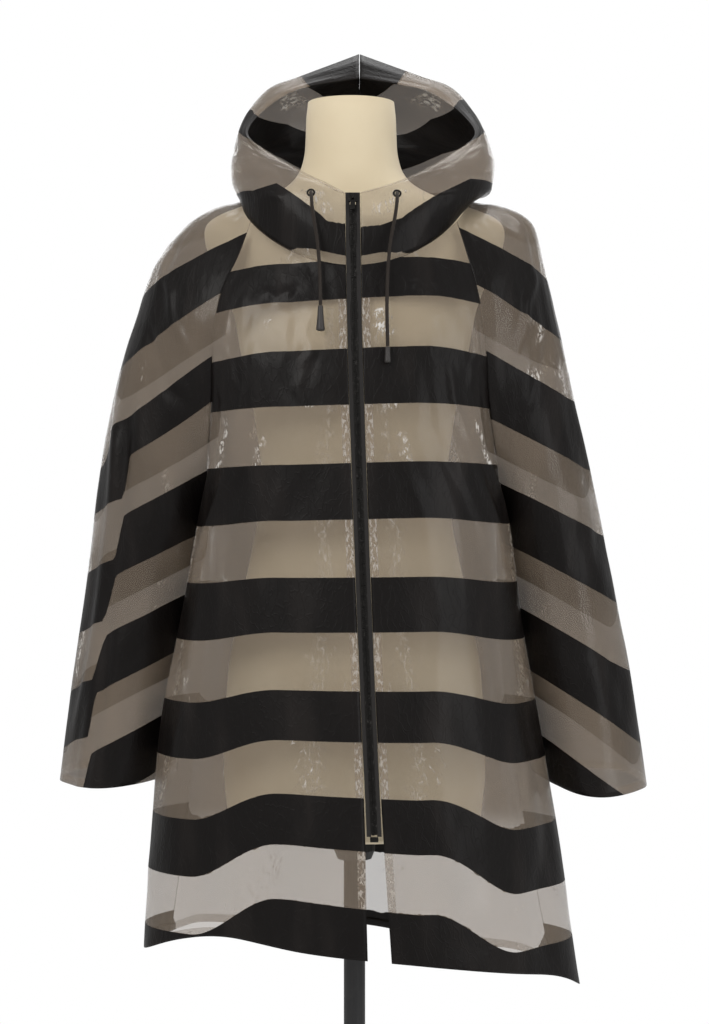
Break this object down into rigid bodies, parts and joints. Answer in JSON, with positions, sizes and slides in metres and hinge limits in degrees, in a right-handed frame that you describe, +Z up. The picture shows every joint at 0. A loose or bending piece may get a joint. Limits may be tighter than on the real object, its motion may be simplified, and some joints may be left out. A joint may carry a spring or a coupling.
{
  "type": "hooded raincoat on dress form",
  "caption": "A-line hooded raincoat in clear film with wide black stripes, zip front and raglan sleeves, standing empty on a limbless dress form with a round base.",
  "frame": {"origin": "on the floor, at the centre of the stand base", "axes": "+Z up, the zip front faces -Y, +X is to the right seen from the front"},
  "size_m": [0.6975, 0.3466, 1.6044],
  "materials": {
    "striped_film": "crinkled milky clear film with wide opaque black stripes, soft gloss",
    "zip_tape": "matt black woven tape",
    "dark_metal": "dark gunmetal, satin",
    "cord_braid": "dark braided round cord",
    "cord_end": "black moulded bell ends",
    "form_cover": "cream fine jersey cover, matt",
    "stand_metal": "satin black powder coat"
  },
  "bodies": {
    "coat_on_form": {"front_left": "striped_film", "front_right": "striped_film", "back": "striped_film", "sleeve_left": "striped_film", "sleeve_right": "striped_film", "hood_left": "striped_film", "hood_right": "striped_film", "casing_left": "striped_film", "casing_right": "striped_film", "facing_left": "striped_film", "facing_right": "striped_film", "hem_left": "striped_film", "hem_right": "striped_film", "hem_back": "striped_film", "cuff_left": "striped_film", "cuff_right": "striped_film", "zip_tape_left": "zip_tape", "zip_tape_right": "zip_tape", "zip_chain": "dark_metal", "zip_slider": "dark_metal", "zip_stop": "dark_metal", "eyelet_left": "dark_metal", "eyelet_right": "dark_metal", "cord_left": "cord_braid", "cord_right": "cord_braid", "cord_end_left": "cord_end", "cord_end_right": "cord_end", "form_torso": "form_cover", "form_base": "stand_metal", "form_pole": "stand_metal", "form_collar": "stand_metal"},
    "pull_tab": {"zip_pull": "dark_metal"}
  },
  "joints": [
    {"name": "zip_pull_swing", "type": "hinge", "parent": "coat_on_form", "child": "pull_tab", "pos_m": [-0.00203, -0.10895, 1.408], "axis": [-1, 0, 0], "range_deg": [0, 150]}
  ]
}
